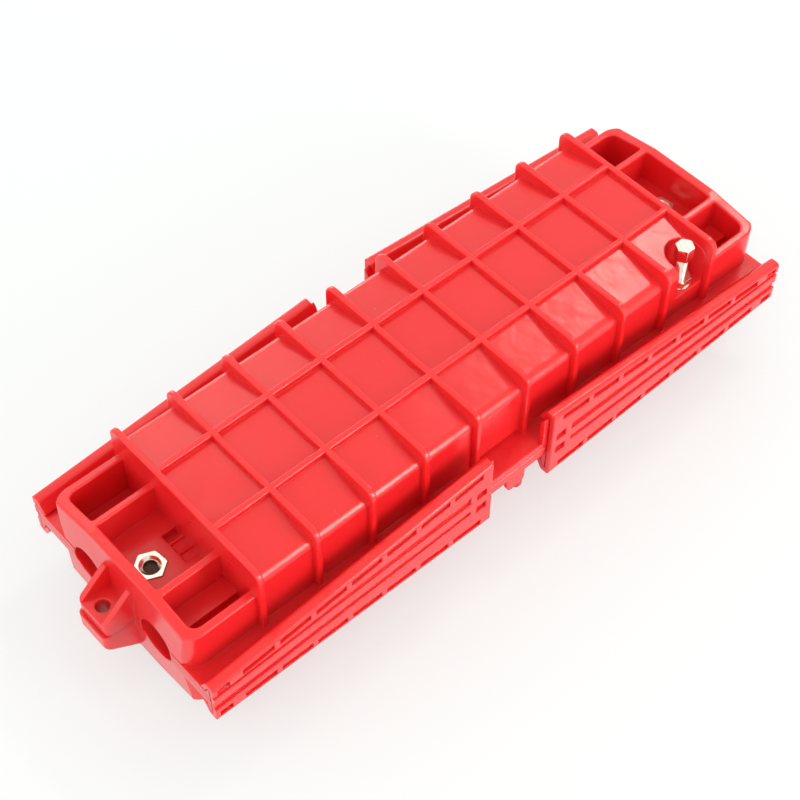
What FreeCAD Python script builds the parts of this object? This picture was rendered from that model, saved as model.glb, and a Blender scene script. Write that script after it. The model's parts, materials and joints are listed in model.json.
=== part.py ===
import FreeCAD, Part
import math
import os

from FreeCAD import Vector

# A two-in two-out fibre splice box: two ribbed half shells, held shut by four tapered bars that slide
# along the side flanges and by a bolt at each end. Millimetres. X runs along the box, Y across it and
# Z up. The origin is the middle of the underside of the lower ribs.

# Half shell
half_height = 42.0
rib_count = 10
rib_pitch = 30.0
rib_thickness = 3.0
rib_height = 3.0
rib_overhang = 3.0
rib_corner_radius = 5.0
rib_edge_radius = 0.8
long_rib_spacing = 38.2
body_width = 95.0
shoulder_drop = 4.5
shoulder_radius = 5.0
wall = 3.0

# End blocks with their open pockets
end_block_length = 37.5
end_draft = 1.75
rim_drop = 9.3
rim_edge_radius = 1.0
end_corner_radius = 9.0
end_wall_thickness = 5.0
pocket_side_wall = 4.0
pocket_corner_radius = 1.2
pocket_outer_radius = 4.5
divider_offset = 3.3
divider_thickness = 3.6
port_roof = 1.9
channel_floor = 4.0
recess_length = 7.0
recess_width = 5.2
recess_pitch = 6.3
recess_depth = 1.2
recess_deep_depth = 4.0

# Flanges at the parting plane
flange_width = 13.1
upper_flange = 3.5
lower_flange = 5.0
flange_corner_radius = 1.5
parting_chamfer = 0.7

# Cable ports
port_diameter = 21.0
port_side_margin = 24.0

# Hanging lugs
upper_lug_reach = 14.5
lower_lug_reach = 16.0
lug_width = 19.4
lug_floor = 8.0
lug_wall = 2.6
lug_rise = 20.5
lug_hole_diameter = 6.5
lug_hole_reach = 8.5
lug_corner_radius = 2.5

# Clamp bars, with heights above and below the parting plane
bar_gap = 37.0
bar_web = 2.5
bar_leg = 3.0
bar_crest = 5.0
bar_hook_angle = 60.3
bar_hook_drop = 6.5
bar_hook_thickness = 2.4
bar_edge_radius = 1.8
bar_rise_inner = 24.0
bar_rise_outer = 11.5
bar_fall_inner = 19.0
bar_fall_outer = 13.5
ramp_wall = 2.7
slide_clearance = 0.35
stop_reach = 2.8
foot_groove_depth = 1.0
foot_groove_height = 1.7
catch_tab_width = 11.0
catch_tab_place = 1.0
catch_tab_setback = 1.0

# Relief on the outer face of a bar
slot_count = 7
slot_pitch = 19.4
slot_length = 16.6
slot_height = 3.8
slot_depth = 1.5
slot_start = 5.8
slot_edge_distance = 2.0
end_slot_length = 6.5
groove_depth = 1.0
groove_start = 12.5
upper_groove_base = 5.0
upper_groove_height = 5.5
upper_groove_end_base = 4.0
upper_groove_end_height = 2.0
lower_groove_base = -3.0
lower_groove_height = 3.0
lower_groove_end_base = -5.0
lower_groove_end_height = 4.0
key_slot_length = 6.0
key_slot_height = 4.8
key_slot_upper = 6.75
key_slot_lower = -2.75

# Sealing strips
gasket_width = 4.0
gasket_height = 3.0
gasket_offset = 3.5
gasket_end_margin = 6.0
gasket_clearance = 0.1

# End bolts
bolt_diameter = 8.0
bolt_hole_clearance = 0.25
bolt_inset = 16.5
bolt_seat = 6.4
bolt_head_width = 13.0
bolt_head_height = 5.3
bolt_head_room = 2.0
nut_width = 13.0
nut_height = 6.5
nut_recess_clearance = 0.15
bolt_end_below_nut = 2.5
thread_clearance = 0.05
hex_chamfer = 0.2
nut_turn = 36.0

# Pressure test valve
valve_side_distance = 6.5
valve_wall_gap = 0.5
valve_well_radius = 9.0
valve_well_flat = 0.4
valve_ledge = 16.0
valve_boss_depth = 10.0
valve_thread_diameter = 6.0
valve_stem_diameter = 5.4
valve_cap_margin = 0.9
valve_bore_diameter = 2.4
valve_nut_width = 10.0
valve_nut_height = 4.0
valve_washer_diameter = 11.0
valve_washer_height = 0.8
valve_tail = 1.5
valve_cap_width = 8.0
valve_cap_height = 7.5
valve_cap_roof = 1.2
valve_seal_height = 0.6

# Mounting plate
plate_end_clearance = 7.5
plate_side_clearance = 6.5
plate_thickness = 1.5
plate_corner_radius = 6.0
plate_height = 6.0
boss_diameter = 9.0
boss_post_distance = 12.0
boss_plate_edge = 8.0
plate_screw_diameter = 4.0
screw_head_ratio = 1.9
screw_head_height_ratio = 0.55
screw_depth = 5.0

# Cable clamps behind the ports
saddle_inset = 25.5
saddle_length = 12.0
saddle_side_clearance = 3.0
clamp_diameter = 19.0
clamp_split = 0.8
strap_thickness = 2.2
strap_foot_height = 3.0
strap_screw_edge = 3.0
strap_screw_diameter = 3.0
strap_screw_depth = 8.0
saddle_screw_spacing = 22.0

# Clamps for the cable's strength member
post_saddle_distance = 16.0
post_diameter = 8.0
post_top = 6.0
post_cross_hole = 4.0
post_hole_drop = 5.0
post_screw_diameter = 4.0
post_screw_depth = 3.5

# Splice trays
tray_end_clearance = 2.0
tray_side_clearance = 3.5
tray_height = 10.0
tray_wall = 1.5
tray_corner_radius = 14.0
tray_base = 16.5
tray_gate_width = 14.0
drum_rod_distance = 32.0
drum_radius = 20.0
drum_gap = 10.0
tray_tab_reach = 5.0
tray_tab_width = 3.0
holder_length = 36.0
holder_width = 24.0
holder_height = 5.0
holder_groove_count = 6
holder_groove_width = 2.4
holder_groove_depth = 3.0
rod_inset = 8.0
rod_diameter = 4.0
rod_clearance = 0.1
spacer_diameter = 8.0
tray_boss_diameter = 8.0
lid_thickness = 1.5
lid_notch_radius = 7.0
thumb_nut_diameter = 11.0
thumb_nut_height = 6.0
thumb_nut_flats = 12

# Sizes that follow
body_half = body_width / 2
panel_height = half_height - rib_height
ribs_half = rib_pitch * (rib_count - 1) / 2
cavity_half = ribs_half - rib_thickness / 2
block_start = ribs_half + rib_thickness / 2
end_x = ribs_half + end_block_length
crown_half = long_rib_spacing / 2
divider_y = crown_half + divider_offset
flange_half = body_half + flange_width
port_radius = port_diameter / 2
port_y = body_half - port_side_margin
rim_height = panel_height - rim_drop
pocket_floor = port_radius + port_roof
channel_start = port_y + port_radius
bolt_x = end_x - bolt_inset
lug_hole_x = end_x + lug_hole_reach
gap_half = bar_gap / 2
web_inner = flange_half + slide_clearance
web_outer = web_inner + bar_web
hook_slope = math.tan(math.radians(bar_hook_angle))
hook_shift_y = bar_hook_thickness * math.sin(math.radians(bar_hook_angle))
hook_shift_z = bar_hook_thickness * math.cos(math.radians(bar_hook_angle))
crest_y = web_outer - bar_crest
gasket_y = body_half + gasket_offset
cavity_floor = wall - panel_height
cavity_side = body_half - wall
valve_x = cavity_half - valve_well_radius - valve_wall_gap
valve_y = valve_side_distance - body_half
valve_stem_top = half_height - valve_cap_margin - valve_cap_roof - valve_seal_height
plate_length = 2 * (cavity_half - plate_end_clearance)
plate_width = 2 * (cavity_side - plate_side_clearance)
saddle_x = cavity_half - saddle_inset
saddle_width = 2 * (cavity_side - saddle_side_clearance - port_y)
strap_screw_spacing = saddle_width - 2 * strap_screw_edge
post_x = saddle_x - post_saddle_distance
boss_spacing_x = 2 * (post_x - boss_post_distance)
boss_spacing_y = plate_width - 2 * boss_plate_edge
tray_length = 2 * (post_x - post_diameter / 2 - tray_end_clearance)
tray_width = 2 * (cavity_side - tray_side_clearance)
rod_place = tray_length / 2 - rod_inset
drum_place = rod_place - drum_rod_distance
plate_bottom = cavity_floor + plate_height
plate_top = plate_bottom + plate_thickness
tray_bottom = plate_top + tray_base
lid_bottom = tray_bottom + 2 * tray_height
overshoot = 1.0
ends = {"left": -1, "right": 1}
sides = {"near": -1, "far": 1}


# Drawing helpers

def across(x):
    return lambda y, z: Vector(x, y, z)


def along(y):
    return lambda x, z: Vector(x, y, z)


def plan(z):
    return lambda x, y: Vector(x, y, z)


def corner_arc(before, corner, after, radius, place):
    """The two ends of a rounded corner and the arc between them."""
    to_before = (before - corner).normalize()
    to_after = (after - corner).normalize()
    half_angle = to_before.getAngle(to_after) / 2
    reach = radius / math.tan(half_angle)
    middle = (to_before + to_after).normalize() * (radius / math.sin(half_angle) - radius)
    points = [corner + to_before * reach, corner + middle, corner + to_after * reach]
    first, mid, last = [place(p.x, p.y) for p in points]
    return first, last, Part.Arc(first, mid, last).toShape()


def loop(corners, place):
    """A closed outline through (u, v) or (u, v, radius) corners."""
    flat = [Vector(c[0], c[1], 0) for c in corners]
    count = len(corners)
    starts, stops, arcs = [], [], []
    for i, c in enumerate(corners):
        if len(c) == 3 and c[2] > 0:
            first, last, arc = corner_arc(flat[i - 1], flat[i], flat[(i + 1) % count], c[2], place)
        else:
            first = last = place(c[0], c[1])
            arc = None
        starts.append(first)
        stops.append(last)
        arcs.append(arc)
    edges = []
    for i in range(count):
        if arcs[i]:
            edges.append(arcs[i])
        following = starts[(i + 1) % count]
        if (following - stops[i]).Length > 1e-6:
            edges.append(Part.LineSegment(stops[i], following).toShape())
    return Part.Wire(edges)


def prism(corners, place, reach):
    return Part.Face(loop(corners, place)).extrude(reach)


def wedge(first, last):
    """A straight-sided solid between two like polygons, given as lists of points."""
    outlines = [first, last]
    for i in range(len(first)):
        outlines.append([first[i - 1], first[i], last[i], last[i - 1]])
    faces = [Part.Face(Part.makePolygon(points + points[:1])) for points in outlines]
    solid = Part.Solid(Part.Shell(faces))
    if solid.Volume < 0:
        solid.reverse()
    return solid


def box(x0, x1, y0, y1, z0, z1):
    return Part.makeBox(x1 - x0, y1 - y0, z1 - z0, Vector(x0, y0, z0))


def rod(diameter, x, y, z0, z1):
    return Part.makeCylinder(diameter / 2, z1 - z0, Vector(x, y, z0))


def hexagon(flats, x, y, z0, z1, turn):
    radius = flats / math.sqrt(3)
    corners = []
    for i in range(6):
        angle = math.radians(60 * i + turn)
        corners.append((x + radius * math.cos(angle), y + radius * math.sin(angle)))
    return prism(corners, plan(z0), Vector(0, 0, z1 - z0))


def chamfered_hexagon(flats, x, y, z0, z1, turn=0.0):
    """A hexagon whose upper corners are turned down to a cone, as on a nut."""
    height = z1 - z0
    corner_radius = flats / math.sqrt(3)
    top_radius = corner_radius - hex_chamfer / math.tan(math.radians(30))
    cone_height = hex_chamfer
    lower = Part.makeCylinder(corner_radius, height - cone_height, Vector(x, y, z0))
    upper = Part.makeCone(corner_radius, top_radius, cone_height, Vector(x, y, z1 - cone_height))
    return hexagon(flats, x, y, z0, z1, turn).common(lower.fuse(upper))


def rectangle(half_x, half_y, radius, x=0.0, y=0.0):
    signs = [(-1, -1), (1, -1), (1, 1), (-1, 1)]
    return [(x + sx * half_x, y + sy * half_y, radius) for sx, sy in signs]


def union(shapes):
    return shapes[0].multiFuse(shapes[1:])


def mirrored(shape, x_sign, y_sign):
    """A copy of a piece drawn in the +X +Y quarter, turned over to another quarter."""
    copy = shape.copy()
    if x_sign < 0:
        copy = copy.mirror(Vector(0, 0, 0), Vector(1, 0, 0))
    if y_sign < 0:
        copy = copy.mirror(Vector(0, 0, 0), Vector(0, 1, 0))
    return copy


def save(name, shape):
    """Writes a piece, lifted from the parting plane to the height at which it stands."""
    lifted = shape.copy()
    lifted.translate(Vector(0, 0, half_height))
    if not lifted.isValid():
        print("not valid:", name)
    lifted.exportStep(os.path.join("parts", name + ".step"))
    size = lifted.BoundBox
    extents = " x ".join(f"{e:.1f}" for e in (size.XLength, size.YLength, size.ZLength))
    print(f"{name}: {len(lifted.Solids)} solid(s), {extents}")


def pan_screw(diameter, x, y, seat, depth, upward=1):
    """A screw whose head stands on the seat, pointing down, or hangs under it, pointing up."""
    head_diameter = diameter * screw_head_ratio
    head_height = diameter * screw_head_height_ratio
    if upward > 0:
        head = rod(head_diameter, x, y, seat, seat + head_height)
        shank = rod(diameter, x, y, seat - depth, seat)
    else:
        head = rod(head_diameter, x, y, seat - head_height, seat)
        shank = rod(diameter, x, y, seat, seat + depth)
    rims = [e for e in head.Edges if abs(e.BoundBox.ZLength) < 1e-6]
    rims = [e for e in rims if abs(e.BoundBox.ZMax - seat) > 1e-6]
    return head.makeFillet(head_height / 3, rims).fuse(shank)


# Half shell, drawn with the parting plane at Z = 0 and the ribs upwards

def shell_section(height, half_width, radius):
    """The crowned section: flat in the middle, falling to rounded shoulders."""
    return [
        (-half_width, 0),
        (half_width, 0),
        (half_width, height - shoulder_drop, radius),
        (crown_half, height),
        (-crown_half, height),
        (-half_width, height - shoulder_drop, radius),
    ]


def panel_at(y):
    """The height of the crowned panel at a distance from the middle."""
    fall = max(0.0, abs(y) - crown_half) / (body_half - crown_half)
    return panel_height - shoulder_drop * fall


def transverse_rib(x):
    reach = body_half + rib_overhang
    corners = [
        (-reach, 0),
        (reach, 0),
        (reach, half_height, rib_corner_radius),
        (-reach, half_height, rib_corner_radius),
    ]
    plate = prism(corners, across(x - rib_thickness / 2), Vector(rib_thickness, 0, 0))
    outline = [e for e in plate.Edges if e.BoundBox.XLength < 1e-6 and e.BoundBox.ZMax > 1e-6]
    return plate.makeFillet(rib_edge_radius, outline)


def long_rib(y):
    bar = box(-ribs_half, ribs_half, y - rib_thickness / 2, y + rib_thickness / 2,
              panel_height - shoulder_drop, half_height)
    crests = [e for e in bar.Edges if e.BoundBox.YLength + e.BoundBox.ZLength < 1e-6]
    crests = [e for e in crests if abs(e.BoundBox.ZMax - half_height) < 1e-6]
    return bar.makeFillet(rib_edge_radius, crests)


def rim_edges(block):
    """The edges round the pocket mouths and along the top of the end wall."""
    level = rim_height - shoulder_drop
    found = []
    for edge in block.Edges:
        room = edge.BoundBox
        at_side = max(abs(room.YMin), abs(room.YMax)) > body_half - 0.01
        beyond_ribs = room.XMin > block_start - 0.01 and room.XMax > block_start + 0.01
        if room.ZMin > level - 0.01 and (at_side or beyond_ribs):
            found.append(edge)
    return found


def end_block():
    """The right end block: a crowned, drafted prism with three pockets open at the top."""
    section = shell_section(rim_height, body_half, 0)
    reach = end_x - ribs_half
    solid = prism(section, across(ribs_half), Vector(reach, 0, 0))
    slope = [(ribs_half, 0), (end_x, 0), (end_x - end_draft, rim_height), (ribs_half, rim_height)]
    solid = solid.common(prism(slope, along(-body_half), Vector(0, body_width, 0)))
    outline = [
        (ribs_half, -body_half),
        (end_x, -body_half, end_corner_radius),
        (end_x, body_half, end_corner_radius),
        (ribs_half, body_half),
    ]
    solid = solid.common(prism(outline, plan(0), Vector(0, 0, rim_height)))
    pocket_end = end_x - end_draft - end_wall_thickness
    limits = [
        (-body_half + pocket_side_wall, -divider_y - divider_thickness / 2),
        (-divider_y + divider_thickness / 2, divider_y - divider_thickness / 2),
        (divider_y + divider_thickness / 2, body_half - pocket_side_wall),
    ]
    radii = [
        (pocket_outer_radius, pocket_corner_radius),
        (pocket_corner_radius, pocket_corner_radius),
        (pocket_corner_radius, pocket_outer_radius),
    ]
    for (low, high), (low_radius, high_radius) in zip(limits, radii):
        corners = [(block_start, low), (pocket_end, low, low_radius),
                   (pocket_end, high, high_radius), (block_start, high)]
        pocket = prism(corners, plan(channel_floor), Vector(0, 0, rim_height))
        floor = box(block_start - overshoot, end_x, -channel_start, channel_start, 0, pocket_floor)
        solid = solid.cut(pocket.cut(floor))
    tunnels = []
    room = box(ribs_half, pocket_end, -body_half, body_half, 0, pocket_floor)
    for y in (-port_y, port_y):
        tube = Part.makeCylinder(port_radius + wall, pocket_end - ribs_half,
                                 Vector(ribs_half, y, 0), Vector(1, 0, 0))
        tunnels.append(tube.common(room))
    solid = union([solid] + tunnels)
    return solid.makeFillet(rim_edge_radius, rim_edges(solid))


def floor_recesses():
    """Small moulded recesses in the floor of the right middle pocket, next to the ribbed body."""
    cuts = []
    x0 = block_start
    for i, depth in ((-1, recess_depth), (0, recess_depth), (1, recess_deep_depth)):
        y = i * recess_pitch
        cuts.append(box(x0, x0 + recess_length, y - recess_width / 2, y + recess_width / 2,
                        pocket_floor - depth, rim_height))
    return cuts


def lug(reach):
    """The right hanging lug: a floor with two cheeks that taper out from the end wall."""
    half = lug_width / 2
    tip = end_x + reach
    root = end_x - end_draft - end_wall_thickness / 2
    outline = [(root, -half), (tip, -half, lug_corner_radius), (tip, half, lug_corner_radius), (root, half)]
    floor = prism(outline, plan(0), Vector(0, 0, lug_floor))
    shape = [(root, 0), (tip, 0), (tip, lug_floor), (end_x, lug_rise), (root, lug_rise)]
    cheeks = []
    for y in (-half, half - lug_wall):
        cheeks.append(prism(shape, along(y), Vector(0, lug_wall, 0)))
    tall_outline = prism(outline, plan(0), Vector(0, 0, lug_rise))
    return union([floor] + cheeks).common(tall_outline)


def bar_height(inner, outer, x):
    """A bar's height over the parting plane at a place along its length."""
    return inner + (outer - inner) * (x - gap_half) / (end_x - gap_half)


def ramp(inner, outer, y_sign):
    """The tapered wall on a flange, which fits inside the bar with the sliding clearance."""
    rib_inner = flange_half - ramp_wall
    slope_y = crest_y + hook_shift_y + hook_shift_z / hook_slope

    def outline(x, bar_top):
        top = bar_top - bar_leg - slide_clearance
        shift = slide_clearance / math.sin(math.radians(bar_hook_angle))
        chamfer_y = slope_y + shift - (bar_top - top) / hook_slope
        chamfer_z = bar_top - (slope_y + shift - rib_inner) * hook_slope
        corners = [(rib_inner, 0), (flange_half, 0), (flange_half, top)]
        corners += [(chamfer_y, top), (rib_inner, chamfer_z)]
        return [(x, y * y_sign, z) for y, z in corners]

    stations = [(-end_x, outer), (-gap_half, inner), (gap_half, inner), (end_x, outer)]
    outlines = [[Vector(*p) for p in outline(x, top)] for x, top in stations]
    return [wedge(outlines[i], outlines[i + 1]) for i in range(3)]


def edge_cut(z, up, half_length):
    """A strip that chamfers a flange's outer edge: its lower edge where up is 1, its upper one where it is -1."""
    far = flange_half + overshoot
    near = flange_half - parting_chamfer - overshoot
    corners = [(near, z - up * overshoot), (far, z - up * overshoot), (far, z + up * (parting_chamfer + overshoot))]
    return prism(corners, across(-half_length), Vector(2 * half_length, 0, 0))


def half_shell(flange, rise_inner, rise_outer, lug_reach):
    body = prism(shell_section(panel_height, body_half, shoulder_radius),
                 across(-block_start), Vector(2 * block_start, 0, 0))
    block = end_block()
    plate_outline = rectangle(end_x, flange_half, flange_corner_radius)
    solids = [body, block, mirrored(block, -1, 1)]
    solids.append(prism(plate_outline, plan(0), Vector(0, 0, flange)))
    for i in range(rib_count):
        solids.append(transverse_rib(i * rib_pitch - ribs_half))
    for y in (-crown_half, crown_half):
        solids.append(long_rib(y))
    for y_sign in sides.values():
        solids += ramp(rise_inner, rise_outer, y_sign)
    lug_solid = lug(lug_reach)
    solids += [lug_solid, mirrored(lug_solid, -1, 1)]
    shell = union(solids)

    cavity = prism(shell_section(panel_height - wall, body_half - wall, shoulder_radius - wall / 2),
                   across(-cavity_half), Vector(2 * cavity_half, 0, 0))
    cuts = [cavity]
    for y in (-port_y, port_y):
        for x_sign in ends.values():
            start = Vector(x_sign * (cavity_half - overshoot), y, 0)
            cuts.append(Part.makeCylinder(port_radius, end_x - cavity_half + 2 * overshoot, start,
                                          Vector(x_sign, 0, 0)))
    for x_sign in ends.values():
        hole = bolt_diameter + 2 * bolt_hole_clearance
        cuts.append(rod(hole, x_sign * bolt_x, 0, -overshoot, bolt_seat + overshoot))
        cuts.append(rod(lug_hole_diameter, x_sign * lug_hole_x, 0, -overshoot, lug_floor + overshoot))
        cuts += [mirrored(recess, x_sign, 1) for recess in floor_recesses()]
    groove = gasket_width / 2 + gasket_clearance
    groove_end = end_x - gasket_end_margin + gasket_clearance
    for y in (-gasket_y, gasket_y):
        cuts.append(box(-groove_end, groove_end, y - groove, y + groove, -overshoot, gasket_height / 2))
    for y_sign in sides.values():
        cuts.append(mirrored(edge_cut(0, 1, end_x + overshoot), 1, y_sign))
    return shell.cut(union(cuts))


def valve_bay(half_width, bottom, top):
    """A bay about the valve with a round back and straight sides, open through the near side."""
    corner = half_width - valve_well_flat / 2
    outline = [
        (valve_x - half_width, -body_half - overshoot),
        (valve_x + half_width, -body_half - overshoot),
        (valve_x + half_width, valve_y + half_width, corner),
        (valve_x - half_width, valve_y + half_width, corner),
    ]
    return prism(outline, plan(bottom), Vector(0, 0, top - bottom))


def upper_shell():
    shell = half_shell(upper_flange, bar_rise_inner, bar_rise_outer, upper_lug_reach)
    cuts = []
    for y_sign in sides.values():
        window = box(stop_reach - gap_half, gap_half - stop_reach, flange_half - ramp_wall - overshoot,
                     flange_half + overshoot, upper_flange, half_height)
        bay = rib_pitch / 2 - rib_thickness
        groove = box(-bay, bay, body_half - foot_groove_depth, body_half + overshoot,
                     upper_flange, upper_flange + foot_groove_height)
        edge = edge_cut(upper_flange, -1, gap_half - stop_reach)
        cuts += [mirrored(cut, 1, y_sign) for cut in (window, groove, edge)]
    for x_sign in ends.values():
        cuts.append(hexagon(nut_width + 2 * nut_recess_clearance, x_sign * bolt_x, 0,
                            bolt_seat, pocket_floor + overshoot, nut_turn))
    shell = shell.cut(union(cuts))

    envelope = prism(shell_section(panel_height, body_half, shoulder_radius),
                     across(-block_start), Vector(2 * block_start, 0, 0))
    bottom = valve_ledge - valve_boss_depth
    pot = valve_bay(valve_well_radius + wall, bottom, half_height).common(envelope)
    well = valve_bay(valve_well_radius, valve_ledge, half_height + overshoot)
    hole = rod(valve_thread_diameter + 2 * thread_clearance, valve_x, valve_y,
               bottom - overshoot, valve_ledge + overshoot)
    return shell.fuse(pot).cut(well.fuse(hole))


def lower_shell():
    shell = half_shell(lower_flange, bar_fall_inner, bar_fall_outer, lower_lug_reach)
    tab_start = catch_tab_place - catch_tab_width / 2
    tab_stop = catch_tab_place + catch_tab_width / 2
    tab_reach = bar_fall_inner - bar_leg
    tab_radius = catch_tab_width / 2 - overshoot
    window = [
        (-gap_half, lower_flange),
        (tab_start, lower_flange),
        (tab_start, tab_reach, tab_radius),
        (tab_stop, tab_reach, tab_radius),
        (tab_stop, lower_flange),
        (gap_half, lower_flange),
        (gap_half, half_height),
        (-gap_half, half_height),
    ]
    cuts = []
    through = Vector(0, ramp_wall + 2 * overshoot, 0)
    for y_sign in sides.values():
        gap = prism(window, along(flange_half - ramp_wall - overshoot), through)
        face = box(-gap_half, gap_half, flange_half - catch_tab_setback, flange_half + overshoot,
                   lower_flange, half_height)
        cuts += [mirrored(gap, 1, y_sign), mirrored(face, 1, y_sign)]
    for x_sign in ends.values():
        corner_to_corner = bolt_head_width / math.cos(math.radians(30))
        cuts.append(rod(corner_to_corner + 2 * bolt_head_room, x_sign * bolt_x, 0,
                        bolt_seat, pocket_floor + overshoot))
    shell = shell.cut(union(cuts))

    bosses = []
    pilots = []
    for x_sign in ends.values():
        for y_sign in sides.values():
            x = x_sign * boss_spacing_x / 2
            y = y_sign * boss_spacing_y / 2
            bosses.append(rod(boss_diameter, x, y, -plate_bottom, panel_at(y) - wall / 2))
            pilots.append(rod(plate_screw_diameter + 2 * thread_clearance, x, y,
                              -plate_bottom - overshoot, -plate_bottom + screw_depth))
    shell = union([shell] + bosses).cut(union(pilots))
    return shell.mirror(Vector(0, 0, 0), Vector(0, 0, 1))


# Clamp bars, drawn for the +X +Y quarter

def bar_section(top, bottom):
    """A C section: two hooked legs joined by the web that shows from outside."""
    hook_y = crest_y - bar_hook_drop / hook_slope
    inner_y = crest_y + hook_shift_y + (hook_shift_z - bar_leg) / hook_slope
    upper = [
        (web_outer, top, bar_edge_radius),
        (crest_y, top, bar_edge_radius),
        (hook_y, top - bar_hook_drop),
        (hook_y + hook_shift_y, top - bar_hook_drop - hook_shift_z),
        (inner_y, top - bar_leg),
        (web_inner, top - bar_leg),
    ]
    lower = []
    for corner in reversed(upper):
        lower.append((corner[0], bottom + top - corner[1]) + corner[2:])
    return upper + lower


def sloping_cut(x0, x1, starts, stops, depth):
    """A relief in the outer face between two lines, each given by its height at both ends."""
    corners = [(x0, starts[0]), (x1, stops[0]), (x1, stops[1]), (x0, starts[1])]
    return prism(corners, along(web_outer - depth), Vector(0, depth + overshoot, 0))


def bar_relief():
    cuts = []
    runs = [(gap_half + slot_start + i * slot_pitch, slot_length) for i in range(slot_count)]
    runs.append((end_x - end_slot_length - slot_edge_distance, end_slot_length))
    for start, length in runs:
        stop = start + length
        tops = [bar_height(bar_rise_inner, bar_rise_outer, x) - slot_edge_distance for x in (start, stop)]
        bottoms = [slot_edge_distance - bar_height(bar_fall_inner, bar_fall_outer, x) for x in (start, stop)]
        cuts.append(sloping_cut(start, stop, (tops[0], tops[0] - slot_height),
                                (tops[1], tops[1] - slot_height), slot_depth))
        cuts.append(sloping_cut(start, stop, (bottoms[0] + slot_height, bottoms[0]),
                                (bottoms[1] + slot_height, bottoms[1]), slot_depth))
    groove_x = gap_half + groove_start
    bands = [
        (upper_groove_base, upper_groove_height, upper_groove_end_base, upper_groove_end_height),
        (lower_groove_base, lower_groove_height, lower_groove_end_base, lower_groove_end_height),
    ]
    for base, height, end_base, end_height in bands:
        cuts.append(sloping_cut(groove_x, end_x + overshoot, (base + height, base),
                                (end_base + end_height, end_base), groove_depth))
    key_x = gap_half + slot_edge_distance + overshoot
    for z in (key_slot_upper, key_slot_lower):
        limits = (z + key_slot_height / 2, z - key_slot_height / 2)
        cuts.append(sloping_cut(key_x, key_x + key_slot_length, limits, limits, slot_depth))
    return union(cuts)


def clamp_bar():
    inner = loop(bar_section(bar_rise_inner, -bar_fall_inner), across(gap_half))
    outer = loop(bar_section(bar_rise_outer, -bar_fall_outer), across(end_x))
    return Part.makeLoft([inner, outer], True, True).cut(bar_relief())


def gasket():
    end = end_x - gasket_end_margin
    return box(-end, end, gasket_y - gasket_width / 2, gasket_y + gasket_width / 2,
               -gasket_height / 2, gasket_height / 2)


# End bolts and nuts

def end_bolt(x):
    head = chamfered_hexagon(bolt_head_width, x, 0, bolt_seat, bolt_seat + bolt_head_height, nut_turn)
    head = head.mirror(Vector(0, 0, 0), Vector(0, 0, 1))
    tip = bolt_seat + nut_height - bolt_end_below_nut
    return head.fuse(rod(bolt_diameter, x, 0, -bolt_seat, tip))


def end_nut(x):
    nut = chamfered_hexagon(nut_width, x, 0, bolt_seat, bolt_seat + nut_height, nut_turn)
    return nut.cut(rod(bolt_diameter + 2 * thread_clearance, x, 0, 0, half_height))


# Pressure test valve

def valve_body():
    """A threaded tube screwed into the boss under the ledge, open at both ends."""
    tail = valve_ledge - valve_boss_depth - valve_tail
    thread_top = valve_ledge + valve_washer_height + valve_nut_height + overshoot
    thread = rod(valve_thread_diameter, valve_x, valve_y, tail, thread_top)
    stem = rod(valve_stem_diameter, valve_x, valve_y, thread_top, valve_stem_top)
    bore = rod(valve_bore_diameter, valve_x, valve_y, tail - overshoot, valve_stem_top + overshoot)
    return thread.fuse(stem).cut(bore)


def valve_washer():
    ring = rod(valve_washer_diameter, valve_x, valve_y, valve_ledge, valve_ledge + valve_washer_height)
    return ring.cut(rod(valve_thread_diameter + 2 * thread_clearance, valve_x, valve_y, 0, half_height))


def valve_nut():
    seat = valve_ledge + valve_washer_height
    nut = chamfered_hexagon(valve_nut_width, valve_x, valve_y, seat, seat + valve_nut_height)
    return nut.cut(rod(valve_thread_diameter + 2 * thread_clearance, valve_x, valve_y, 0, half_height))


def valve_seal():
    bottom = valve_stem_top
    return rod(valve_stem_diameter, valve_x, valve_y, bottom, bottom + valve_seal_height)


def valve_cap():
    seal_top = valve_stem_top + valve_seal_height
    top = seal_top + valve_cap_roof
    cap = chamfered_hexagon(valve_cap_width, valve_x, valve_y, top - valve_cap_height, top)
    return cap.cut(rod(valve_stem_diameter + 2 * thread_clearance, valve_x, valve_y, 0, seal_top))


# Inside: mounting plate, cable clamps, strength member posts

def quarter_points(x, y):
    return [(f"{end}_{side}", sx * x, sy * y) for end, sx in ends.items() for side, sy in sides.items()]


def mounting_plate():
    plate = prism(rectangle(plate_length / 2, plate_width / 2, plate_corner_radius),
                  plan(plate_bottom), Vector(0, 0, plate_thickness))
    holes = []
    for _, x, y in quarter_points(boss_spacing_x / 2, boss_spacing_y / 2):
        holes.append(rod(plate_screw_diameter + 2 * thread_clearance, x, y, plate_bottom - 1, plate_top + 1))
    for _, x, y in quarter_points(saddle_x, port_y):
        for shift in (-saddle_screw_spacing / 2, saddle_screw_spacing / 2):
            holes.append(rod(strap_screw_diameter + 2 * thread_clearance, x, y + shift,
                             plate_bottom - 1, plate_top + 1))
    return plate.cut(union(holes))


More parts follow.
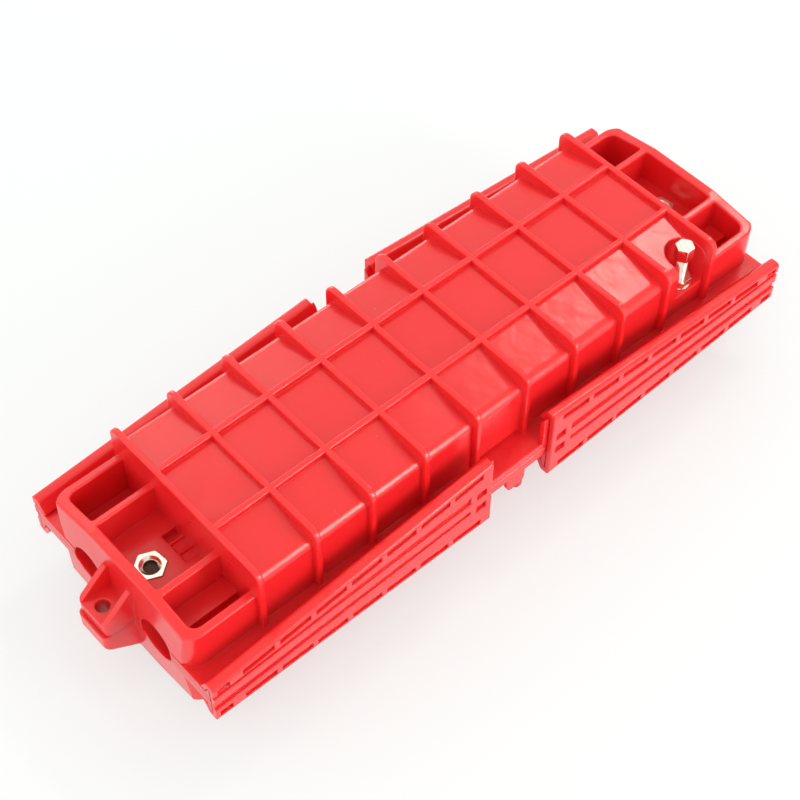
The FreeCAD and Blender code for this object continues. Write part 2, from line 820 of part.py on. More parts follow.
def cable_saddle(x, y):
    """A block under the cable, with a half-round seat in line with the port."""
    top = -clamp_split / 2
    block = box(x - saddle_length / 2, x + saddle_length / 2, y - saddle_width / 2, y + saddle_width / 2,
                plate_top, top)
    edges = [e for e in block.Edges if e.BoundBox.XLength + e.BoundBox.YLength < 1e-6]
    block = block.makeFillet(2 * clamp_split, edges)
    seat = Part.makeCylinder(clamp_diameter / 2, 2 * saddle_length, Vector(x - saddle_length, y, 0),
                             Vector(1, 0, 0))
    holes = []
    for shift in (-strap_screw_spacing / 2, strap_screw_spacing / 2):
        holes.append(rod(strap_screw_diameter + 2 * thread_clearance, x, y + shift,
                         top - strap_screw_depth, top + overshoot))
    for shift in (-saddle_screw_spacing / 2, saddle_screw_spacing / 2):
        holes.append(rod(strap_screw_diameter + 2 * thread_clearance, x, y + shift,
                         plate_top - overshoot, plate_top + screw_depth))
    return block.cut(union([seat] + holes))


def cable_strap(x, y):
    """A pressed strap that arches over the cable, with a foot on each side."""
    start = Vector(x - saddle_length / 2, y, 0)
    ring = Part.makeCylinder(clamp_diameter / 2 + strap_thickness, saddle_length, start, Vector(1, 0, 0))
    bottom = -clamp_split / 2
    feet = box(x - saddle_length / 2, x + saddle_length / 2, y - saddle_width / 2, y + saddle_width / 2,
               bottom, bottom + strap_foot_height)
    arch = ring.common(box(x - saddle_length, x + saddle_length, y - saddle_width, y + saddle_width,
                           bottom, half_height))
    hollow = Part.makeCylinder(clamp_diameter / 2, 2 * saddle_length, Vector(x - saddle_length, y, 0),
                               Vector(1, 0, 0))
    holes = []
    for shift in (-strap_screw_spacing / 2, strap_screw_spacing / 2):
        holes.append(rod(strap_screw_diameter + 2 * thread_clearance, x, y + shift, bottom - 1, half_height))
    return feet.fuse(arch).cut(union([hollow] + holes))


def strap_screws():
    seat = strap_foot_height - clamp_split / 2
    screws = []
    for _, x, y in quarter_points(saddle_x, port_y):
        for shift in (-strap_screw_spacing / 2, strap_screw_spacing / 2):
            screws.append(pan_screw(strap_screw_diameter, x, y + shift, seat, strap_screw_depth))
    return Part.Compound(screws)


def saddle_screws():
    screws = []
    for _, x, y in quarter_points(saddle_x, port_y):
        for shift in (-saddle_screw_spacing / 2, saddle_screw_spacing / 2):
            screws.append(pan_screw(strap_screw_diameter, x, y + shift, plate_bottom,
                                    plate_thickness + screw_depth, -1))
    return Part.Compound(screws)


def plate_screws():
    screws = []
    for _, x, y in quarter_points(boss_spacing_x / 2, boss_spacing_y / 2):
        screws.append(pan_screw(plate_screw_diameter, x, y, plate_top, plate_thickness + screw_depth))
    return Part.Compound(screws)


def member_post(x, y):
    """A post with a cross hole for the strength member, clamped by a screw from above."""
    top = -post_top
    post = rod(post_diameter, x, y, plate_top, top)
    cross = Part.makeCylinder(post_cross_hole / 2, 2 * post_diameter,
                              Vector(x - post_diameter, y, top - post_hole_drop), Vector(1, 0, 0))
    thread = rod(post_screw_diameter + 2 * thread_clearance, x, y, top - post_hole_drop, top + overshoot)
    return post.cut(cross.fuse(thread))


def member_screws():
    screws = []
    for _, x, y in quarter_points(post_x, port_y):
        screws.append(pan_screw(post_screw_diameter, x, y, -post_top, post_screw_depth))
    return Part.Compound(screws)


# Splice trays

def splice_tray(bottom):
    """A shallow tray: rim with a gate at each corner, two storage drums and a seat for the holder."""
    half_x = tray_length / 2
    half_y = tray_width / 2
    outer = prism(rectangle(half_x, half_y, tray_corner_radius), plan(bottom), Vector(0, 0, tray_height))
    inner = prism(rectangle(half_x - tray_wall, half_y - tray_wall, tray_corner_radius - tray_wall),
                  plan(bottom + tray_wall), Vector(0, 0, tray_height))
    tray = outer.cut(inner)
    gates = []
    for _, x, y in quarter_points(half_x, tray_width / 4):
        gates.append(box(x - 2 * tray_wall, x + 2 * tray_wall,
                         y - tray_gate_width / 2, y + tray_gate_width / 2,
                         bottom + tray_wall, bottom + tray_height + overshoot))
    tray = tray.cut(union(gates))
    features = []
    for sx in ends.values():
        x = sx * drum_place
        ring = rod(2 * drum_radius, x, 0, bottom, bottom + tray_height - tray_wall)
        ring = ring.cut(rod(2 * (drum_radius - tray_wall), x, 0, bottom, bottom + tray_height))
        slit = box(x - drum_gap / 2, x + drum_gap / 2, -half_y, half_y,
                   bottom + tray_wall, bottom + tray_height)
        features.append(ring.cut(slit))
        features.append(rod(tray_boss_diameter, sx * rod_place, 0, bottom, bottom + tray_height))
        for y_sign in sides.values():
            y0 = y_sign * (half_y - tray_wall / 2)
            y1 = y_sign * (half_y - tray_tab_reach)
            features.append(box(x - tray_tab_width / 2, x + tray_tab_width / 2, min(y0, y1), max(y0, y1),
                                bottom + tray_height - 2 * tray_wall, bottom + tray_height - tray_wall))
    tray = union([tray] + features)
    holes = [rod(rod_diameter + 2 * rod_clearance, sx * rod_place, 0, bottom - 1, bottom + tray_height + 1)
             for sx in ends.values()]
    return tray.cut(union(holes))


def splice_holder(bottom):
    """A comb that grips the splice sleeves between its teeth."""
    seat = bottom + tray_wall
    comb = box(-holder_length / 2, holder_length / 2, -holder_width / 2, holder_width / 2,
               seat, seat + holder_height)
    pitch = holder_width / holder_groove_count
    cuts = []
    for i in range(holder_groove_count):
        y = (i + 0.5) * pitch - holder_width / 2
        cuts.append(box(-holder_length, holder_length,
                        y - holder_groove_width / 2, y + holder_groove_width / 2,
                        seat + holder_height - holder_groove_depth, seat + 2 * holder_height))
    return comb.cut(union(cuts))


def tray_lid():
    half_x = tray_length / 2
    half_y = tray_width / 2
    lid = prism(rectangle(half_x, half_y, tray_corner_radius), plan(lid_bottom), Vector(0, 0, lid_thickness))
    cuts = []
    for sx in ends.values():
        cuts.append(rod(rod_diameter + 2 * rod_clearance, sx * rod_place, 0, lid_bottom - 1, half_height))
    for sy in sides.values():
        cuts.append(rod(2 * lid_notch_radius, 0, sy * half_y, lid_bottom - 1, half_height))
    return lid.cut(union(cuts))


def tray_rod(x):
    return rod(rod_diameter, x, 0, plate_top, lid_bottom + lid_thickness + thumb_nut_height)


def tray_spacer(x):
    sleeve = rod(spacer_diameter, x, 0, plate_top, tray_bottom)
    return sleeve.cut(rod(rod_diameter + 2 * rod_clearance, x, 0, plate_top - 1, tray_bottom + 1))


def thumb_nut(x):
    """A knurled nut: a ring with shallow flutes round its edge."""
    bottom = lid_bottom + lid_thickness
    nut = rod(thumb_nut_diameter, x, 0, bottom, bottom + thumb_nut_height)
    cuts = [rod(rod_diameter + 2 * thread_clearance, x, 0, bottom - 1, half_height)]
    flute = thumb_nut_diameter * math.pi / thumb_nut_flats / 2
    for i in range(thumb_nut_flats):
        angle = 2 * math.pi * i / thumb_nut_flats
        cuts.append(rod(flute, x + thumb_nut_diameter / 2 * math.cos(angle),
                        thumb_nut_diameter / 2 * math.sin(angle), bottom + tray_wall, half_height))
    return nut.cut(union(cuts))


# Every piece, written to its own file

os.makedirs("parts", exist_ok=True)

save("upper_shell", upper_shell())
save("lower_shell", lower_shell())

bar = clamp_bar()
strip = gasket()
for side, y_sign in sides.items():
    save(f"{side}_gasket", mirrored(strip, 1, y_sign))
    for end, x_sign in ends.items():
        save(f"clamp_bar_{end}_{side}", mirrored(bar, x_sign, y_sign))

for end, x_sign in ends.items():
    save(f"{end}_end_bolt", end_bolt(x_sign * bolt_x))
    save(f"{end}_end_nut", end_nut(x_sign * bolt_x))
    save(f"{end}_tray_rod", tray_rod(x_sign * rod_place))
    save(f"{end}_tray_spacer", tray_spacer(x_sign * rod_place))
    save(f"{end}_thumb_nut", thumb_nut(x_sign * rod_place))

save("valve_body", valve_body())
save("valve_washer", valve_washer())
save("valve_nut", valve_nut())
save("valve_seal", valve_seal())
save("valve_cap", valve_cap())

save("mounting_plate", mounting_plate())
save("plate_screws", plate_screws())
for place, x, y in quarter_points(saddle_x, port_y):
    save(f"cable_saddle_{place}", cable_saddle(x, y))
    save(f"cable_strap_{place}", cable_strap(x, y))
save("strap_screws", strap_screws())
save("saddle_screws", saddle_screws())
for place, x, y in quarter_points(post_x, port_y):
    save(f"member_post_{place}", member_post(x, y))
save("member_screws", member_screws())

for name, level in (("lower", 0), ("upper", 1)):
    base = tray_bottom + level * tray_height
    save(f"{name}_splice_tray", splice_tray(base))
    save(f"{name}_splice_holder", splice_holder(base))
save("tray_lid", tray_lid())
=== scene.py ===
# %% [markdown]
# # A fibre splice box
# The solids of the box come from its CAD model: two ribbed half shells, four sliding clamp bars, end
# bolts and nuts, a test valve, and the plate, clamps and trays inside. This lesson loads them as a fixed
# frame, finishes every surface, turns the nuts, winds the threads, and lights the box as the photograph
# does. One load call brings all of the solids in, in metres and already in place, so nothing here has to
# be moved to fit.

# %% Load the frame
import json
import math

import bmesh
import bpy
from mathutils import Matrix, Vector


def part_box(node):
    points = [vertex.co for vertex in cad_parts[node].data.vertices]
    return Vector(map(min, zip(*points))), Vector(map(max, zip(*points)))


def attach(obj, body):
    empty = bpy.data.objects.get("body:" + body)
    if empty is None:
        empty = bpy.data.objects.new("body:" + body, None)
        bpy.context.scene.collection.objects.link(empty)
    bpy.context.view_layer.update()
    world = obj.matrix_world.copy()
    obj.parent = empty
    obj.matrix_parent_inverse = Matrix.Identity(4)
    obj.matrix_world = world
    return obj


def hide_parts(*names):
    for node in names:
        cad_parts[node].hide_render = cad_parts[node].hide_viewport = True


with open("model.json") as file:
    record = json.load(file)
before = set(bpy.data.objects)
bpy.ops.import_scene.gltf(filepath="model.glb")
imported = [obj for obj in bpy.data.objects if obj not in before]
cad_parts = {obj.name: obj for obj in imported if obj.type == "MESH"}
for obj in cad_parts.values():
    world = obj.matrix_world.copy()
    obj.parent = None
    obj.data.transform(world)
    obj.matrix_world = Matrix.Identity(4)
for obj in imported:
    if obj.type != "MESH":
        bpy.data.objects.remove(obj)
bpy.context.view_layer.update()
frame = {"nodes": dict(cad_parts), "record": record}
nodes = frame["nodes"]

# %% [markdown]
# ## The camera
# The photograph looks down on one long side and one end. A camera could be matched by eye, but the ribs
# lie on an even grid, so their crossings in the photograph give the camera's place, turn and lens
# together. The numbers below are that fit. A wrong lens would show first at the ends of the box, where
# the rib lines converge.

# %% Camera
sensor_mm = 36.0
lens_mm = 76.31
viewpoint = (-0.33176, -0.34928, 0.65936)
turn_degrees = (37.5683, -0.2497, -41.8130)


def add_object(name, data):
    """A new object in the scene, made of a camera, a mesh or a lamp."""
    added = bpy.data.objects.new(name, data)
    bpy.context.scene.collection.objects.link(added)
    return added


view = bpy.data.cameras.new("photo_view")
view.sensor_width = sensor_mm
view.lens = lens_mm
camera = add_object("photo_view", view)
camera.location = viewpoint
camera.rotation_euler = [math.radians(degrees) for degrees in turn_degrees]
bpy.context.scene.camera = camera
print("camera at", [round(c, 3) for c in viewpoint], "with a lens of", lens_mm, "mm")

# %% [markdown]
# ## Writing materials as sums
# A material's nodes can be wired one by one, but a finish reads better as a sum, such as a base roughness
# plus a little noise. The first class below holds one value that runs through the nodes and lets Python's
# own signs add the Math nodes. Every other node comes from the one method of the second class, which
# takes the node's type, its settings and the values of its sockets.

# %% A value that changes over a surface
class Value:
    """One number or colour on its way through the nodes."""

    def __init__(self, tree, socket):
        self.tree = tree
        self.socket = socket

    def sum_node(self, operation, first, second):
        node = self.tree.nodes.new("ShaderNodeMath")
        node.operation = operation
        for socket, item in zip(node.inputs, (first, second)):
            if isinstance(item, Value):
                self.tree.links.new(item.socket, socket)
            else:
                socket.default_value = item
        return Value(self.tree, node.outputs[0])

    def __add__(self, other):
        return self.sum_node("ADD", self, other)

    def __radd__(self, other):
        return self.sum_node("ADD", other, self)

    def __sub__(self, other):
        return self.sum_node("SUBTRACT", self, other)

    def __rsub__(self, other):
        return self.sum_node("SUBTRACT", other, self)

    def __mul__(self, other):
        return self.sum_node("MULTIPLY", self, other)

    def __rmul__(self, other):
        return self.sum_node("MULTIPLY", other, self)

    def __gt__(self, other):
        return self.sum_node("GREATER_THAN", self, other)


print("values add, subtract, multiply and compare")


# %% Nodes of any tree
class Nodes:
    """A node tree that grows by one method."""

    def __init__(self, tree):
        self.tree = tree

    def node(self, kind, settings=None, sockets=None, output=0):
        """Adds a node: its settings first, then its sockets by name or place. Gives one of its outputs."""
        node = self.tree.nodes.new(kind)
        for name, choice in (settings or {}).items():
            setattr(node, name, choice)
        for name, item in (sockets or {}).items():
            if isinstance(item, Value):
                self.tree.links.new(item.socket, node.inputs[name])
            else:
                node.inputs[name].default_value = item
        return Value(self.tree, node.outputs[output])

    def spread(self, value, low, high):
        """Stretches a value so that low becomes 0 and high becomes 1."""
        sockets = {"Value": value, "From Min": low, "From Max": high}
        return self.node("ShaderNodeMapRange", {"clamp": True}, sockets)


print("any node comes from one method")


# %% A finish under construction
class Finish(Nodes):
    """A material with its nodes and its surface shader."""

    def __init__(self, name, **constants):
        self.material = bpy.data.materials.new(name)
        self.material.use_nodes = True
        super().__init__(self.material.node_tree)
        self.shader = self.tree.nodes["Principled BSDF"]
        for socket, number in constants.items():
            self.shader.inputs[socket.replace("_", " ")].default_value = number

    def place(self, scale=None):
        """Object coordinates, stretched where a scale is given."""
        where = self.node("ShaderNodeTexCoord", output="Object")
        if scale:
            where = self.node("ShaderNodeMapping", sockets={"Vector": where, "Scale": scale})
        return where

    def noise(self, scale, detail=2.0, rough=0.5, stretch=None):
        sockets = {"Vector": self.place(stretch), "Scale": scale, "Detail": detail, "Roughness": rough}
        return self.node("ShaderNodeTexNoise", sockets=sockets)

    def blend(self, factor, first, second):
        """A colour between two colours; sockets 6 and 7 of Mix are its colours, and output 2 its result."""
        sockets = {0: factor, 6: (*first, 1), 7: (*second, 1)}
        return self.node("ShaderNodeMix", {"data_type": "RGBA"}, sockets, output=2)

    def soft_edges(self, radius):
        """A normal that turns smoothly round every edge within the radius."""
        return self.node("ShaderNodeBevel", {"samples": 6}, {"Radius": radius})

    def soft_outer_edges(self, radius):
        """The same, but inner corners, where little open space is near, keep their own normal."""
        sight = {"Distance": 1.5 * radius}
        open_share = self.node("ShaderNodeAmbientOcclusion", {"samples": 4}, sight, output="AO")
        outside = self.spread(open_share, 0.55, 0.85)
        own = self.node("ShaderNodeNewGeometry", output="Normal")
        sockets = {0: outside, 4: own, 5: self.soft_edges(radius)}
        return self.node("ShaderNodeMix", {"data_type": "VECTOR"}, sockets, output=1)

    def bump(self, height, distance, strength, under):
        """A normal bent by a height, laid over another normal."""
        sockets = {"Height": height, "Distance": distance, "Strength": strength, "Normal": under}
        return self.node("ShaderNodeBump", sockets=sockets)

    def feed(self, **values):
        """Links values to the shader's sockets and gives the finished material."""
        for name, value in values.items():
            self.tree.links.new(value.socket, self.shader.inputs[name.replace("_", " ")])
        return self.material


print("finishes are built node by node")

# %% [markdown]
# ## Red moulded plastic
# The shells and bars are injection moulded in a glossy, saturated red. A real moulding isn't a perfect
# mirror: its panels sink a little between the ribs as they cool, which bends reflections, and the tool
# leaves a fine skin. One slow noise gives the sink, one finer noise gives the skin, and both go through
# Bump. A mould's edges are never sharp, so the Bevel node turns the normal softly round each outer edge.
# Real bevels on every edge of the ribs would cost many faces for the same look. In a rib's root the node
# would catch light that can't reach there, so the Ambient Occlusion node finds those corners and keeps
# them as they are. Two more noises make the gloss uneven and add faint scuffs, as handling does. The
# plastic lets a little light through, so that thin ribs glow at their sides: that is subsurface
# scattering, in which red light travels a few millimetres and the other colours much less.

# %% Red plastic
finishes = {}


def red_plastic():
    finish = Finish("red_plastic", IOR=1.54, Subsurface_Weight=0.8, Subsurface_Scale=0.003,
                    Subsurface_Radius=(1.0, 0.2, 0.2))
    tone = finish.noise(scale=18.0, detail=3.0)
    colour = finish.blend(tone, (0.74, 0.016, 0.021), (0.79, 0.020, 0.026))
    handling = finish.noise(scale=55.0, detail=5.0, rough=0.6)
    flecks = finish.noise(scale=420.0, detail=4.0, rough=0.7, stretch=(1, 0.25, 1))
    scuffs = finish.spread(flecks, 0.62, 0.75)
    rough = 0.20 + 0.10 * handling + 0.03 * scuffs
    edges = finish.soft_outer_edges(radius=0.0010)
    hollows = finish.noise(scale=46.0, detail=3.0)
    sunken = finish.bump(hollows, distance=0.0009, strength=0.7, under=edges)
    grain = finish.noise(scale=900.0)
    skin = finish.bump(grain, distance=0.00003, strength=0.25, under=sunken)
    return finish.feed(Base_Color=colour, Roughness=rough, Normal=skin)


finishes["red_plastic"] = red_plastic()
print("made", finishes["red_plastic"].name)

# %% [markdown]
# ## Metals
# The six metals inside and outside the box could share one grey finish, but each of them shows how it was
# made. Plated nuts and the nickelled valve are bright with a faint haze. The bolts are dull and dark, partly
# as a dark finish and partly as painted shade down the nuts' bores where their ends sit. Sheet steel is
# brushed along its length, and turned brass has fine rings. Noise stretched along one axis makes a brushed
# or drawn surface, because its cells become long thin streaks.

# %% Bright plated metals
def plated_metal(name, tone, warm_tone, least_rough):
    """Plating over steel or brass: bright, with a thin warm haze and a few rubbed spots."""
    finish = Finish(name, Metallic=1.0)
    haze = finish.spread(finish.noise(scale=260.0, detail=4.0, rough=0.6), 0.35, 0.75)
    colour = finish.blend(haze, tone, warm_tone)
    rubbed = finish.noise(scale=900.0, detail=3.0, rough=0.6)
    rough = least_rough + 0.12 * rubbed
    edges = finish.soft_edges(radius=0.00025)
    grain = finish.noise(scale=2500.0)
    skin = finish.bump(grain, distance=0.00001, strength=0.3, under=edges)
    return finish.feed(Base_Color=colour, Roughness=rough, Normal=skin)


bright_metals = {
    "plated_steel": dict(tone=(0.90, 0.88, 0.84), warm_tone=(0.86, 0.80, 0.68), least_rough=0.14),
    "nickel_brass": dict(tone=(0.93, 0.92, 0.90), warm_tone=(0.90, 0.84, 0.72), least_rough=0.06),
}
for name, looks in bright_metals.items():
    finishes[name] = plated_metal(name, **looks)
print("bright metals:", list(bright_metals))


# %% Worked metals
def streaked_metal(name, tone, dark_tone, stretch, least_rough):
    """A metal with long thin marks from brushing, drawing or turning."""
    finish = Finish(name, Metallic=1.0)
    streaks = finish.noise(scale=700.0, detail=4.0, rough=0.6, stretch=stretch)
    colour = finish.blend(streaks, dark_tone, tone)
    rough = least_rough + 0.2 * streaks
    edges = finish.soft_edges(radius=0.0002)
    marks = finish.bump(streaks, distance=0.00002, strength=0.4, under=edges)
    return finish.feed(Base_Color=colour, Roughness=rough, Normal=marks)


worked_metals = {
    # dark_steel: its near-black brown is partly a dark bolt finish and partly painted shade for the hollow of
    # the nuts' bores
    "dark_steel": dict(tone=(0.10, 0.058, 0.042), dark_tone=(0.035, 0.022, 0.017),
                       stretch=(1, 1, 3), least_rough=0.3),
    "plate_steel": dict(tone=(0.66, 0.67, 0.68), dark_tone=(0.5, 0.51, 0.52),
                        stretch=(0.03, 1, 1), least_rough=0.25),
    "screw_steel": dict(tone=(0.74, 0.75, 0.76), dark_tone=(0.6, 0.6, 0.58),
                        stretch=(0.4, 0.4, 1), least_rough=0.2),
    "post_brass": dict(tone=(0.80, 0.62, 0.30), dark_tone=(0.66, 0.48, 0.2),
                       stretch=(0.1, 0.1, 1.5), least_rough=0.18),
}
for name, looks in worked_metals.items():
    finishes[name] = streaked_metal(name, **looks)
print("worked metals:", list(worked_metals))

# %% [markdown]
# ## Plastics and rubbers inside
# What the box holds shows only through its open ports, but it is part of the model all the same. The
# clamps are black and finely grained, the trays are satin grey-white with a clear lid, and the strips and
# holders are soft rubber. A grain is a fine noise in Bump. Rubber gets a coarser one, and a high roughness.
# Each could have nodes of its own, but they differ only in numbers, so one function makes them all.

# %% Inner plastics
def grained(name, tone, worn_tone, grain, depth, least_rough, **constants):
    """A plastic or rubber with a fine grain and a slow change of tone."""
    finish = Finish(name, **constants)
    cloud = finish.noise(scale=40.0, detail=3.0)
    colour = finish.blend(cloud, tone, worn_tone)
    texture = finish.noise(scale=grain, detail=3.0, rough=0.6)
    rough = least_rough + 0.15 * texture
    edges = finish.soft_edges(radius=0.0003)
    skin = finish.bump(texture, distance=depth, strength=0.5, under=edges)
    return finish.feed(Base_Color=colour, Roughness=rough, Normal=skin)


inner_finishes = {
    "gasket_rubber": dict(tone=(0.018, 0.018, 0.019), worn_tone=(0.03, 0.03, 0.03),
                          grain=500, depth=0.0001, least_rough=0.6),
    "holder_rubber": dict(tone=(0.05, 0.055, 0.065), worn_tone=(0.07, 0.075, 0.085),
                          grain=500, depth=0.0001, least_rough=0.55),
    "clamp_plastic": dict(tone=(0.014, 0.014, 0.015), worn_tone=(0.022, 0.022, 0.024),
                          grain=1500, depth=0.00004, least_rough=0.4),
    "tray_plastic": dict(tone=(0.66, 0.67, 0.68), worn_tone=(0.72, 0.73, 0.735),
                         grain=800, depth=0.00003, least_rough=0.35),
    "clear_plastic": dict(tone=(0.9, 0.93, 0.95), worn_tone=(0.93, 0.95, 0.97),
                          grain=300, depth=0.00002, least_rough=0.05,
                          Transmission_Weight=0.92, IOR=1.49),
}
for name, looks in inner_finishes.items():
    finishes[name] = grained(name, **looks)
print("all finishes:", len(finishes))

# %% [markdown]
# ## Dress the solids
# The record says which slot each solid takes its finish from, so one loop dresses them all. A solid keeps
# its mesh, and only its material slot changes.

# %% Materials on the CAD solids
slot_of = {part["node"]: part["material_slot"] for part in frame["record"]["subparts"]}
for name, solid in nodes.items():
    solid.data.materials.clear()
    solid.data.materials.append(finishes[slot_of[name]])
print("dressed", len(nodes), "solids in", len(set(slot_of.values())), "finishes")

# %% [markdown]
# ## End nuts
# The nuts are the brightest thing on the box, and the photograph looks straight into one. A real nut has
# its corners turned off at both ends and a countersink at the mouth of its bore, so that a bolt starts
# easily. A Bevel modifier would cut all edges of a prism alike, and not leave the curved lines of turning.
# Rings of points around the axis make all of that: the outer rings follow the hexagon, the inner ones are
# round, and a corner ring is drawn in wherever the hexagon reaches past the turned diameter. The solids'
# nuts have only a small chamfer on top, so the new ones stand for them.

# %% Ways to make and finish a piece
sharp_angle = math.radians(28)


def mesh_from(shape, name):
    """A mesh with the faces of a bmesh, which is then let go."""
    mesh = bpy.data.meshes.new(name)
    shape.to_mesh(mesh)
    shape.free()
    return mesh


def finish_piece(piece, body, slot_name, stands_for=None):
    """Gives a piece its finish, its smooth faces and sharp edges, its body and its slot."""
    piece.data.materials.clear()
    piece.data.materials.append(finishes[slot_name])
    for polygon in piece.data.polygons:
        polygon.use_smooth = True
    piece.data.set_sharp_from_angle(angle=sharp_angle)
    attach(piece, body)
    if stands_for:
        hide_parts(stands_for)


print("edges sharper than", round(math.degrees(sharp_angle)), "degrees stay sharp")


# %% Turn the nuts
ends = ("left", "right")
across_flats = 0.013
turned_radius = 0.00725
sink_radius = 0.0049
crest_radius = 0.0034
bore_radius = 0.00405
corner_slope = 0.58
sink_slope = 0.9
tip_room = 0.00015
first_corner_degrees = 36
nut_steps = 72


def nut_profile(reach, low, high, tip):
    """Radius and height of each ring, where the hexagon reaches this far from the axis."""
    corner = min(reach, turned_radius)
    cut = corner_slope * (reach - corner)
    sink_depth = sink_slope * (sink_radius - crest_radius)
    mouth = [(bore_radius, low + sink_radius - bore_radius), (sink_radius, low)]
    outside = [(corner, low), (reach, low + cut), (reach, high - cut), (corner, high)]
    inside = [(sink_radius, high), (crest_radius, high - sink_depth), (crest_radius, tip), (bore_radius, tip)]
    return mouth + outside + inside


def turned_nut(name, node, bolt):
    low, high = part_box(node)
    x, y = (low[0] + high[0]) / 2, (low[1] + high[1]) / 2
    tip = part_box(bolt)[1][2] + tip_room
    shape = bmesh.new()
    columns = []
    for step in range(nut_steps):
        degrees = 360 * step / nut_steps
        angle = math.radians(first_corner_degrees + degrees)
        reach = across_flats / 2 / math.cos(math.radians(degrees % 60 - 30))
        columns.append([shape.verts.new((x + r * math.cos(angle), y + r * math.sin(angle), z))
                        for r, z in nut_profile(reach, low[2], high[2], tip)])
    rings = len(columns[0])
    for here, there in zip(columns, columns[1:] + columns[:1]):
        for ring in range(rings):
            following = (ring + 1) % rings
            shape.faces.new((here[ring], here[following], there[following], there[ring]))
    bmesh.ops.remove_doubles(shape, verts=shape.verts, dist=1e-7)
    bmesh.ops.recalc_face_normals(shape, faces=shape.faces)
    return mesh_from(shape, name)


for end in ends:
    node = end + "_end_nut"
    nut = add_object(end + "_turned_nut", turned_nut(node, node, end + "_end_bolt"))
    finish_piece(nut, "box", "plated_steel", stands_for=node)
    print(nut.name, len(nut.data.polygons), "faces")

# %% [markdown]
# ## Threads
# A thread is one ridge wound round a rod, or round the inside of a nut. Rings of points could make it too,
# but a path and a profile are easier to change, and Geometry Nodes can wind them: a spiral is the path, a
# four-sided ring is the ridge's profile, and Curve to Mesh sweeps one along the other. The group takes its
# sizes by name, so one group makes the valve's fine outer thread and the nuts' coarse inner one.

# %% A group that winds a ridge
turn_steps = 48


def wound_ridge():
    tree = bpy.data.node_groups.new("wound_ridge", "GeometryNodeTree")
    for name in ("Turns", "Radius", "Height", "Ridge"):
        tree.interface.new_socket(name, in_out="INPUT", socket_type="NodeSocketFloat")
    tree.interface.new_socket("Finish", in_out="INPUT", socket_type="NodeSocketMaterial")
    tree.interface.new_socket("Geometry", in_out="OUTPUT", socket_type="NodeSocketGeometry")
    group = Nodes(tree)

    def given(name):
        return group.node("NodeGroupInput", output=name)

    spiral = {"Resolution": turn_steps, "Rotations": given("Turns"), "Start Radius": given("Radius"),
              "End Radius": given("Radius"), "Height": given("Height")}
    path = group.node("GeometryNodeCurveSpiral", sockets=spiral)
    upright = group.node("GeometryNodeSetCurveNormal", {"mode": "Z_UP"}, {"Curve": path})
    profile = {"Resolution": 4, "Radius": given("Ridge")}
    ring = group.node("GeometryNodeCurvePrimitiveCircle", sockets=profile)
    sweep = {"Curve": upright, "Profile Curve": ring, "Fill Caps": True}
    swept = group.node("GeometryNodeCurveToMesh", sockets=sweep)
    real = group.node("GeometryNodeRealizeInstances", sockets={"Geometry": swept})
    coat = {"Geometry": real, "Material": given("Finish")}
    painted = group.node("GeometryNodeSetMaterial", sockets=coat)
    tree.links.new(painted.socket, tree.nodes.new("NodeGroupOutput").inputs[0])
    return tree


ridge_group = wound_ridge()
ridge_inputs = [item for item in ridge_group.interface.items_tree if item.in_out == "INPUT"]
print("group inputs:", [item.name for item in ridge_inputs])


# %% A way to wind a thread
def thread(name, place, slot_name, **sizes):
    """A ridge of the given sizes, made a plain mesh and set in its place."""
    piece = add_object(name, bpy.data.meshes.new(name))
    winding = piece.modifiers.new("winding", "NODES")
    winding.node_group = ridge_group
    given = {"Finish": finishes[slot_name], **sizes}
    for item in ridge_inputs:
        winding[item.identifier] = given[item.name]
    graph = bpy.context.evaluated_depsgraph_get()
    made = bpy.data.meshes.new_from_object(piece.evaluated_get(graph), depsgraph=graph)
    piece.modifiers.clear()
    piece.data = made
    piece.data.transform(Matrix.Translation(place))
    finish_piece(piece, "box", slot_name)
    print(name, len(piece.data.polygons), "faces")


def axis_and_top(node):
    """The middle of a turned piece, seen from above, and the height of its top."""
    low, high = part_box(node)
    return (low[0] + high[0]) / 2, (low[1] + high[1]) / 2, high[2]


print("threads take their places from the solids")

# %% Wind the threads
valve_pitch = 0.0008
valve_radius = 0.0027
valve_ridge = 0.0003
room_over_nut = 0.0015
room_at_both_ends = 0.0022
nut_turns = 1.1
nut_rise = 0.0013
nut_ridge = 0.00022
room_over_bolt = 0.0004

x, y, _ = axis_and_top("valve_body")
nut_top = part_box("valve_nut")[1][2]
cap_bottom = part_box("valve_cap")[0][2]
run = cap_bottom - nut_top - room_at_both_ends
thread("valve_thread", (x, y, nut_top + room_over_nut), "nickel_brass",
       Turns=run / valve_pitch, Radius=valve_radius, Height=run, Ridge=valve_ridge)
for end in ends:
    x, y, bolt_tip = axis_and_top(end + "_end_bolt")
    thread(end + "_nut_thread", (x, y, bolt_tip + room_over_bolt), "plated_steel",
           Turns=nut_turns, Radius=crest_radius, Height=nut_rise, Ridge=nut_ridge)

# %% [markdown]
# ## The stage
# The box lies on a pale seamless sheet in soft studio light. A floor bright enough to look white would
# throw too much light up at the box, so the floor shows itself near white to the camera, and to mirrors
# and glass, through the Light Path node, and keeps a faint shadow. For all other light it is a plain pale
# sheet. Further off it turns wholly white, so that no far edge shows behind the box.

# %% Floor
floor_reach = 6.0
whiteness = 0.59
fade_start = 0.8
fade_end = 3.0


def shown_factor(finish):
    """One where a camera, glossy or clear ray arrives, and zero for other light."""
    kinds = ("Is Camera Ray", "Is Glossy Ray", "Is Transmission Ray")
    seen, mirrored, through = [finish.node("ShaderNodeLightPath", output=kind) for kind in kinds]
    return (seen + mirrored + through) > 0.5


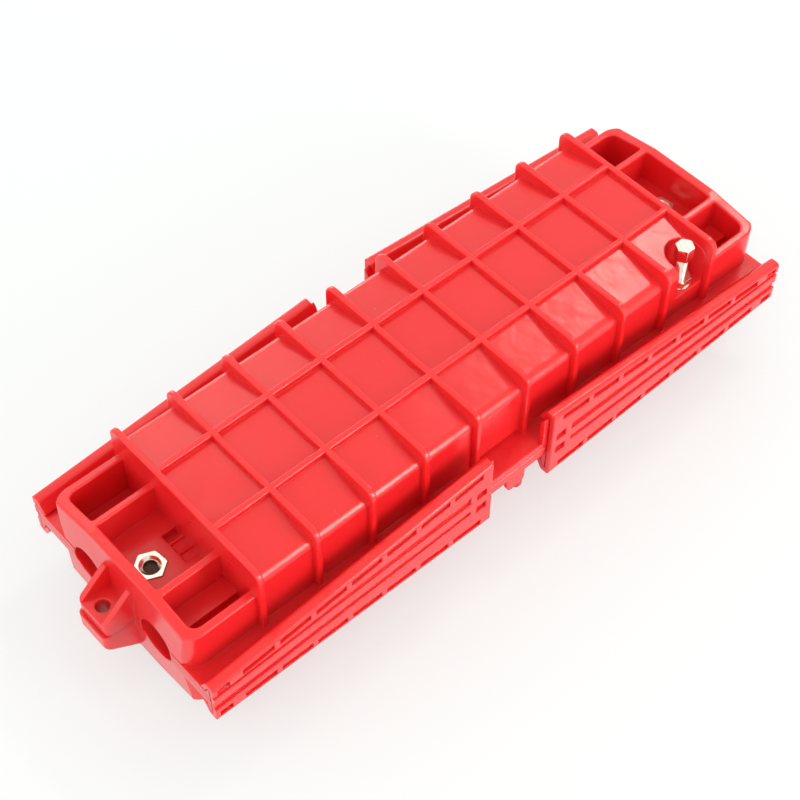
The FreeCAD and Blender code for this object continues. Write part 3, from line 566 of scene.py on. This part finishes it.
def pale_sheet():
    finish = Finish("floor_sheet", Roughness=0.9, Base_Color=(0.76, 0.84, 0.88, 1))
    white = finish.node("ShaderNodeEmission", sockets={"Color": (1, 0.99, 0.99, 1), "Strength": 1.0})
    paper = Value(finish.tree, finish.shader.outputs[0])
    length = {"operation": "LENGTH"}
    distance = finish.node("ShaderNodeVectorMath", length, {0: finish.place()}, output="Value")
    far_off = finish.spread(distance, fade_start, fade_end)
    factor = shown_factor(finish) * (whiteness + (1 - whiteness) * far_off)
    mixed = finish.node("ShaderNodeMixShader", sockets={0: factor, 1: paper, 2: white})
    finish.tree.links.new(mixed.socket, finish.tree.nodes["Material Output"].inputs["Surface"])
    return finish.material


sheet = bmesh.new()
bmesh.ops.create_grid(sheet, x_segments=1, y_segments=1, size=floor_reach)
floor = add_object("floor", mesh_from(sheet, "floor"))
floor.data.materials.append(pale_sheet())
print("floor: a pale sheet that reaches", max(v.co.x for v in floor.data.vertices), "m from the middle")

# %% [markdown]
# ## Studio light
# Soft light comes from all round, so a world with a strength that changes with direction does most of the
# work: brighter near the horizon, on the left and high up behind. An even sky would be simpler, but then
# the flat panels would all reflect the same grey. The lamps are there for their reflections. The window
# in front draws the bright line along the near shoulder, the softbox whitens the panels by the valve, and
# the two lamps behind draw the line along the far shoulder.

# %% World
world = bpy.data.worlds.new("studio")
world.use_nodes = True
bpy.context.scene.world = world
sky = Nodes(world.node_tree)
direction = sky.node("ShaderNodeTexCoord", output="Generated")


def towards(aim, start):
    """One straight towards an aim, and zero where the cosine of the angle to it is the start or less."""
    sockets = {0: direction, 1: aim}
    cosine = sky.node("ShaderNodeVectorMath", {"operation": "DOT_PRODUCT"}, sockets, output="Value")
    return sky.spread(cosine, start, 1.0)


overhead = sky.spread(sky.node("ShaderNodeSeparateXYZ", sockets={0: direction}, output="Z"), 0.0, 1.0)
high_behind = towards((0.45, 0.42, 0.79), 0.6)
on_the_left = towards((-1, 0, 0), 0.2)
level = 1.12 - 0.24 * overhead + 0.10 * high_behind + 0.7 * on_the_left
background = world.node_tree.nodes["Background"]
background.inputs["Color"].default_value = (1, 0.985, 0.91, 1)
world.node_tree.links.new(level.socket, background.inputs["Strength"])
print("world: a graded surround of", len(world.node_tree.nodes), "nodes")

# %% Lamps
lamp_aim = Vector((0, 0, 0.05))
lamp_colour = (1, 0.95, 0.86)


def soft_lamp(name, place, size, watts):
    """A rectangular lamp, turned to the box, that the camera doesn't see."""
    lamp = bpy.data.lights.new(name, "AREA")
    lamp.shape = "RECTANGLE"
    lamp.size, lamp.size_y = size
    lamp.energy = watts
    lamp.color = lamp_colour
    holder = add_object(name, lamp)
    holder.location = place
    holder.rotation_euler = (lamp_aim - Vector(place)).to_track_quat("-Z", "Y").to_euler()
    holder.visible_camera = False
    print(name, watts, "W")


soft_lamp("right_softbox", place=(1.14, 0.235, 1.52), size=(0.36, 0.11), watts=3.8)
soft_lamp("front_window", place=(0.49, -1.464, 0.464), size=(0.33, 0.86), watts=11.0)
soft_lamp("back_panel", place=(0.45, 1.5, 1.5), size=(0.6, 1.0), watts=2.0)
soft_lamp("back_strip", place=(0.647, 1.4535, 0.217), size=(0.59, 0.33), watts=2.4)
bpy.context.scene.view_settings.view_transform = "Standard"

# %% [markdown]
# ## Sizes
# Dressing the box must not make it any larger.

# %% End
print("the box is dressed")
